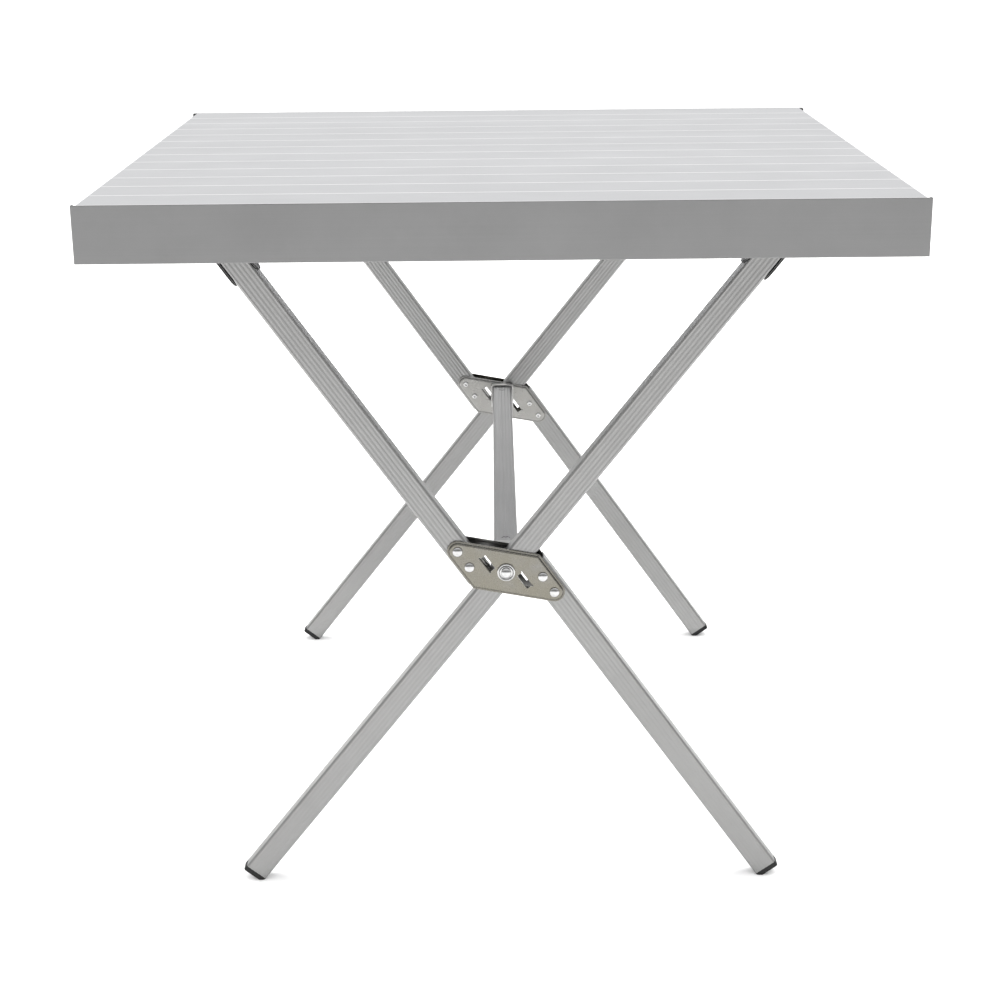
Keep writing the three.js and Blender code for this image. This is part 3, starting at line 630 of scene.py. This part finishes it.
def hub_plate():
    """A shallow pressed dish, open towards the legs, with a narrow rim and two lanced tabs."""

    def pressing(profile):
        return loft([[(x, plate_inside + h, z) for x, z in plate_outline(inset)] for inset, h in profile])

    plate = object_from(pressing(PLATE_PROFILE), "plate")
    combined(plate, object_from(pressing(PLATE_HOLLOW), "hollow"), "DIFFERENCE")
    near = LEG_WIDTH / 2 + TOUCH_GAP
    fold = near + PLATE_SHEET
    window = fold - TAB_WINDOW
    start, end = TAB_START, TAB_START + TAB_LENGTH
    top = plate_outside
    tip = top - TAB_REACH
    through = top + PLATE_SHEET
    for side in (-1, 1):
        corners = ((fold, start), (window, start), (window, end), (fold, end))
        opening = [(side * x, -side * z) for x, z in corners]
        combined(plate, object_from(prism(opening, 0, through), "window"), "DIFFERENCE")
        for z in (start - TAB_RELIEF / 2, end + TAB_RELIEF / 2):
            notch = arc((side * (fold - TAB_RELIEF), -side * z), TAB_RELIEF, 0, 337.5, 15)
            combined(plate, object_from(prism(notch, 0, through), "notch"), "DIFFERENCE")
        # The leaf turns from the face towards the legs.
        leaf = [(near, tip), *arc((near + TAB_BEND, top - TAB_BEND), TAB_BEND, 180, 90)]
        leaf += [(fold + PLATE_SHEET, top), (fold + PLATE_SHEET, top - PLATE_SHEET)]
        leaf += [(fold, top - PLATE_SHEET), (fold, tip)]
        solid = loft([[(side * x, y, -side * z) for x, y in leaf] for z in (start, end)])
        combined(plate, object_from(solid, "leaf"), "UNION")
    return plate


def cup_washer(seat):
    """A washer with a round outer rim and a dish that falls towards its hole."""
    hole = PIVOT_RIVET["shaft"] + RIVET_FIT
    profile = [(hole, seat), (WASHER_RADIUS - WASHER_CORNER, seat)]
    profile.append((WASHER_RADIUS, seat + WASHER_CORNER))
    profile += arc((WASHER_RADIUS - WASHER_RIM, seat + WASHER_RIM), WASHER_RIM, 0, 160)
    profile.append((WASHER_RADIUS - 2.9 * WASHER_RIM, seat + WASHER_DISH))
    profile += [(hole + 2 * WASHER_DISH, seat + 0.0006), (hole, seat + WASHER_DISH)]
    return lathe(profile, closed=True)


def build_hub(end):
    for layer, side in (("outer", outward[end]), ("inner", -outward[end])):
        node = f"{end}_{layer}_hub_plate"
        plate = placed(hub_plate(), hub_place(end, side))
        plate.name = f"{node}_pressing"
        stand_in(plate, node, FINISHES[f"{layer}_plate"], 34)
    for number in range(1, 5):
        node = f"{end}_hub_rivet_{number}"
        pin = object_from(lathe(rivet_profile(HUB_RIVET, rivet_seat, rivet_seat)), f"{node}_pin")
        axis = middle(node)
        place = Matrix.Translation((axis.x, leg_y[end], axis.z)) @ Matrix.Scale(outward[end], 4, (0, 1, 0))
        stand_in(placed(pin, place), node, FINISHES["rivet"], 50)
    node = f"{end}_pivot_washer"
    ring = object_from(cup_washer(rivet_seat), f"{node}_cup")
    stand_in(placed(ring, hub_place(end, outward[end])), node, FINISHES["rivet"], 50)
    node = f"{end}_pivot_rivet"
    head_seat = rivet_seat + WASHER_THICKNESS + TOUCH_GAP
    tail_seat = rivet_seat + SOCKET_SHEET + TOUCH_GAP
    pin = object_from(lathe(rivet_profile(PIVOT_RIVET, head_seat, tail_seat)), f"{node}_pin")
    stand_in(placed(pin, hub_place(end, outward[end])), node, FINISHES["rivet"], 50)
    build_socket(end)


def build_socket(end):
    node = f"{end}_stretcher_socket"
    low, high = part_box(node)
    outer = (high.x - low.x) / 2
    inner = outer - SOCKET_SHEET
    top, bottom = high.z - hub.z, low.z - hub.z
    near = rivet_seat
    deep = near + high.y - low.y
    bend, crease = SOCKET_BEND, SOCKET_BEND - SOCKET_SHEET
    shoulders = arc((outer - bend, top - bend), bend, 0, 90, 6)
    shoulders += arc((bend - outer, top - bend), bend, 90, 180, 6)
    hood = [(-outer, bottom), (-inner, bottom)]
    hood += arc((crease - inner, top - bend), crease, 180, 90, 4)
    hood += arc((inner - crease, top - bend), crease, 90, 0, 4)
    hood += [(inner, bottom), (outer, bottom), *shoulders]
    base = [(-outer, bottom), (outer, bottom), *shoulders]
    socket = object_from(prism(hood, near, deep), f"{node}_pressing")
    combined(socket, object_from(prism(base, near, near + SOCKET_SHEET), "base"), "UNION")
    bm = bmesh.new()
    bm.from_mesh(socket.data)
    round_edges(bm, SOCKET_EDGE, 50)
    bm.to_mesh(socket.data)
    bm.free()
    inward = Matrix.Translation((hub.x, leg_y[end], hub.z)) @ Matrix.Scale(-outward[end], 4, (0, 1, 0))
    stand_in(placed(socket, inward), node, FINISHES["socket"], 34)


# ---- Stretcher and rails -----------------------------------------------------------


def build_stretcher():
    node = "stretcher"
    tube = cleaned(node, "stretcher_tube", TUBE_EDGE, 60)
    low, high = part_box(node)
    # A crescent stake mark near each end of the upper face.
    for end_y, side in ((low.y, 1), (high.y, -1)):
        mark_y = end_y + side * STAKE_INSET
        wide = arc((0, 0), STAKE_RADIUS, 180, 360, 16)
        narrow = arc((0, STAKE_INNER_OFFSET), STAKE_INNER_RADIUS, 328, 212, 12)
        outline = [(x + hub.x, mark_y - side * y) for x, y in wide + narrow]
        heights = (high.z - STAKE_DEPTH, high.z + 0.001)
        cut = loft([[(x, y, z) for x, y in outline] for z in heights])
        combined(tube, object_from(cut, "mark"), "DIFFERENCE")
    stand_in(tube, node, FINISHES["run"], 28)
    # The walls of the marks get the dark steel finish as painted shade, as they lie in their own shade.
    tube.data.materials.append(FINISHES["dark"])
    mark_reach = high.y - STAKE_INSET
    for face in tube.data.polygons:
        upright = abs(face.normal.z) < 0.5
        near = (Vector((face.center.x, abs(face.center.y))) - Vector((hub.x, mark_reach))).length
        if upright and near < STAKE_RADIUS + TOUCH_GAP:
            face.material_index = 1


def build_rails():
    for side in ("left", "right"):
        node = f"{side}_rail"
        low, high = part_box(node)
        centre = middle(node)
        radius = (high.z - low.z) / 2
        half = (high.y - low.y) / 2
        lip, shoulder = radius - RAIL_CHAMFER, half - RAIL_CHAMFER
        profile = [(radius - RAIL_WALL, -half), (lip, -half), (radius, -shoulder)]
        profile += [(radius, shoulder), (lip, half), (radius - RAIL_WALL, half)]
        tube = object_from(lathe(profile, closed=True), f"{node}_tube")
        tube.data.transform(Matrix.Translation((centre.x, 0, centre.z)))
        stand_in(tube, node, FINISHES["run"])


# ---- Stage -------------------------------------------------------------------------

CAMERA_AT = (-0.0075, -2.0729, 0.9639)
CAMERA_DOWN = math.radians(17.78)
CAMERA_YAW = math.radians(0.122)
CAMERA_ROLL = math.radians(-0.522)
CAMERA_LENS = 68.18
SENSOR = 36.0
FLOOR_HALF = 40.0
PAPER = (0.9, 0.92)
# Softboxes: place, the point they face, size and watts. The second stands at both sides.
OVERHEAD = ((0, 1.8, 3.6), (0, 1.2, 0), (4.0, 3.4), 80)
SIDE = ((3.2, 1.0, 2.2), (0, 0.4, 0.1), (3.0, 2.4), 95)
CEILING_STRENGTH = 1.3
CEILING_SPREAD = math.radians(70)
WORLD_TOP = (0, 0.6, 1.2)  # the direction in which the room is brightest
WORLD_LIMITS = {"From Min": -0.35, "From Max": 1.4, "To Min": 0.32, "To Max": 1.25}
SEEN_WALL = 1.02


def build_camera():
    data = bpy.data.cameras.new("camera")
    data.lens = CAMERA_LENS
    data.sensor_width = SENSOR
    camera = bpy.data.objects.new("camera", data)
    bpy.context.scene.collection.objects.link(camera)
    right = Vector((math.cos(CAMERA_YAW), -math.sin(CAMERA_YAW), 0))
    forward = Vector((math.sin(CAMERA_YAW) * math.cos(CAMERA_DOWN),
                      math.cos(CAMERA_YAW) * math.cos(CAMERA_DOWN), -math.sin(CAMERA_DOWN)))
    up = right.cross(forward)
    rolled_right = right * math.cos(CAMERA_ROLL) + up * math.sin(CAMERA_ROLL)
    rolled_up = rolled_right.cross(forward)
    turn = Matrix((rolled_right, rolled_up, -forward)).transposed().to_4x4()
    camera.matrix_world = Matrix.Translation(CAMERA_AT) @ turn
    bpy.context.scene.camera = camera


def lamp_from(name, kind, energy):
    """A lamp that lights the metal but isn't mirrored in it."""
    lamp = bpy.data.objects.new(name, bpy.data.lights.new(name, kind))
    lamp.data.energy = energy
    lamp.visible_glossy = False
    bpy.context.scene.collection.objects.link(lamp)
    return lamp


def softbox(name, at, towards, size, watts):
    lamp = lamp_from(name, "AREA", watts)
    lamp.data.shape = "RECTANGLE"
    lamp.data.size, lamp.data.size_y = size
    lamp.location = at
    lamp.rotation_euler = (Vector(towards) - Vector(at)).to_track_quat("-Z", "Y").to_euler()
    lamp.visible_camera = False


def build_stage():
    bm = bmesh.new()
    bmesh.ops.create_grid(bm, x_segments=1, y_segments=1, size=FLOOR_HALF)
    floor = object_from(bm, "studio_floor")
    f = Finish("floor_paper", 0.0)
    clouds = f.noise(f.position, detail=3.0, scale=1.5)
    paper = f.colours(clouds, [(0.3, grey(PAPER[0])), (0.7, grey(PAPER[1]))])
    floor.data.materials.append(f.done(paper, f.spread(clouds, 0.85, 0.95)))
    build_world()
    softbox("overhead", *OVERHEAD)
    (x, y, z), *facing = SIDE
    softbox("left_softbox", (-x, y, z), *facing)
    softbox("right_softbox", (x, y, z), *facing)
    lamp_from("ceiling", "SUN", CEILING_STRENGTH).data.angle = CEILING_SPREAD
    bpy.context.scene.view_settings.view_transform = "Standard"


def build_world():
    """A bright wall behind and above, and a dimmer room in front. The camera sees a plain pale wall."""
    world = bpy.data.worlds.new("studio")
    world.use_nodes = True
    tree = world.node_tree
    wall = tree.nodes["Background"]
    wall.inputs["Color"].default_value = (1, 1, 1, 1)
    place = tree.nodes.new("ShaderNodeTexCoord").outputs["Generated"]
    raised = tree.nodes.new("ShaderNodeVectorMath")
    raised.operation = "DOT_PRODUCT"
    raised.inputs[1].default_value = WORLD_TOP
    tree.links.new(place, raised.inputs[0])
    level = tree.nodes.new("ShaderNodeMapRange")
    level.interpolation_type = "SMOOTHSTEP"
    for key, number in WORLD_LIMITS.items():
        level.inputs[key].default_value = number
    tree.links.new(raised.outputs["Value"], level.inputs["Value"])
    seen = tree.nodes.new("ShaderNodeLightPath").outputs["Is Camera Ray"]
    strength = tree.nodes.new("ShaderNodeMix")
    tree.links.new(seen, strength.inputs[0])
    tree.links.new(level.outputs["Result"], strength.inputs[2])
    strength.inputs[3].default_value = SEEN_WALL
    tree.links.new(strength.outputs[0], wall.inputs["Strength"])
    bpy.context.scene.world = world


# ---- Assembly ----------------------------------------------------------------------

build_top()
build_stretcher()
build_rails()
for end in ("front", "rear"):
    build_legs(end)
    build_brackets(end)
    build_hub(end)
build_stage()
build_camera()
